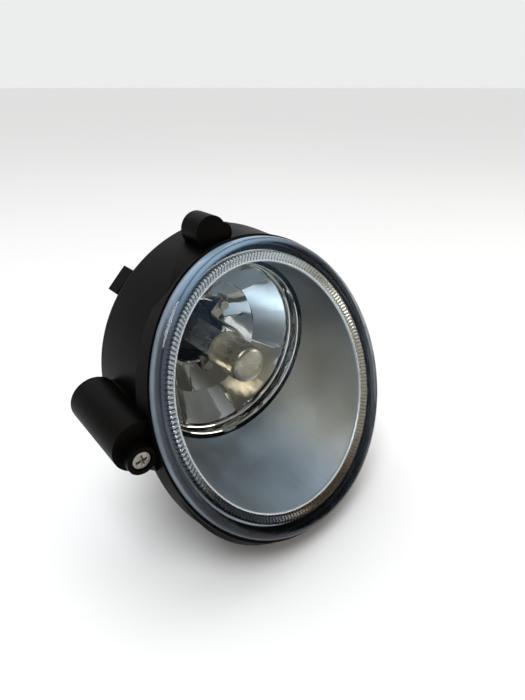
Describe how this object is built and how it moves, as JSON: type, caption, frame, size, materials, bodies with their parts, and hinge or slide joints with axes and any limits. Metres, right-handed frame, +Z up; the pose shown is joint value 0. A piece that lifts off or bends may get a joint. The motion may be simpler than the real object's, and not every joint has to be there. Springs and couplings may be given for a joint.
{
  "type": "fog light",
  "caption": "Round front fog lamp: raked clear lens, satin bezel, aimable bright reflector, shielded twist-lock bulb, black housing with mounting bosses.",
  "frame": {"origin": "where the lamp axis meets the plane of the lens seat, at the centre of the round aperture that holds the lamp", "axes": "front of the lamp towards -Y along the lamp axis, +Z up, +X to the right as seen from the front"},
  "size_m": [0.1043, 0.1023, 0.098],
  "materials": {
    "black_plastic": "moulded black polyamide, fine satin grain",
    "brass": "turned brass insert",
    "black_rubber": "black EPDM",
    "clear_lens": "clear pressed glass, polished",
    "adhesive": "cured dark grey lens adhesive",
    "satin_aluminised": "satin vacuum-metallised plastic with a fine blasted grain",
    "fluted_band": "fluted, part-clear moulded band",
    "bright_chrome": "bright vacuum-metallised reflector",
    "natural_nylon": "natural nylon",
    "steel_pin": "bright steel",
    "rivet_metal": "nickel-plated steel rivet",
    "zinc_screw": "dull zinc-plated steel",
    "shield_nickel": "satin nickel-plated stamped steel",
    "bulb_glass": "clear quartz glass",
    "tungsten": "coiled tungsten wire on molybdenum posts",
    "base_plastic": "black glass-filled plastic",
    "red_silicone": "brick-red silicone",
    "tin_blade": "tin-plated brass blade"
  },
  "bodies": {
    "lamp": {"housing": "black_plastic", "mount_inserts": "brass", "breather_cap": "black_rubber", "lens": "clear_lens", "lens_adhesive": "adhesive", "bezel": "satin_aluminised", "fluted_ring": "fluted_band", "pivot_pins": "steel_pin"},
    "reflector": {"reflector": "bright_chrome", "pivot_bushes": "natural_nylon", "adjuster_arm": "steel_pin", "arm_rivets": "rivet_metal", "bulb_shield": "shield_nickel", "shield_rivets": "rivet_metal"},
    "adjuster": {"adjuster_screw": "zinc_screw", "adjuster_seal": "black_rubber", "adjuster_clip": "steel_pin"},
    "nut": {"adjuster_nut": "natural_nylon"},
    "bulb": {"bulb_glass": "bulb_glass", "bulb_filament": "tungsten", "bulb_base": "base_plastic", "bulb_gasket": "red_silicone", "bulb_terminals": "tin_blade"}
  },
  "joints": [
    {"name": "adjuster_turn", "type": "hinge", "parent": "lamp", "child": "adjuster", "pos_m": [-0.05, 0, -0.0006], "axis": [0, 1, 0], "range_deg": [-810, 810]},
    {"name": "nut_travel", "type": "slide", "parent": "lamp", "child": "nut", "axis": [0, 1, 0], "range_m": [-0.00225, 0.00225]},
    {"name": "reflector_tilt", "type": "hinge", "parent": "lamp", "child": "reflector", "pos_m": [0, 0.0315, 0], "axis": [0, 0, 1], "range_deg": [-2.9, 2.9]},
    {"name": "bulb_twist", "type": "hinge", "parent": "lamp", "child": "bulb", "pos_m": [0, 0.0658, 0], "axis": [0, 1, 0], "range_deg": [0, 40]}
  ],
  "couplings": [
    {"joint": "nut_travel", "follows": "reflector_tilt", "m_per_rad": -0.0445},
    {"joint": "adjuster_turn", "follows": "reflector_tilt", "ratio": -279.6}
  ]
}
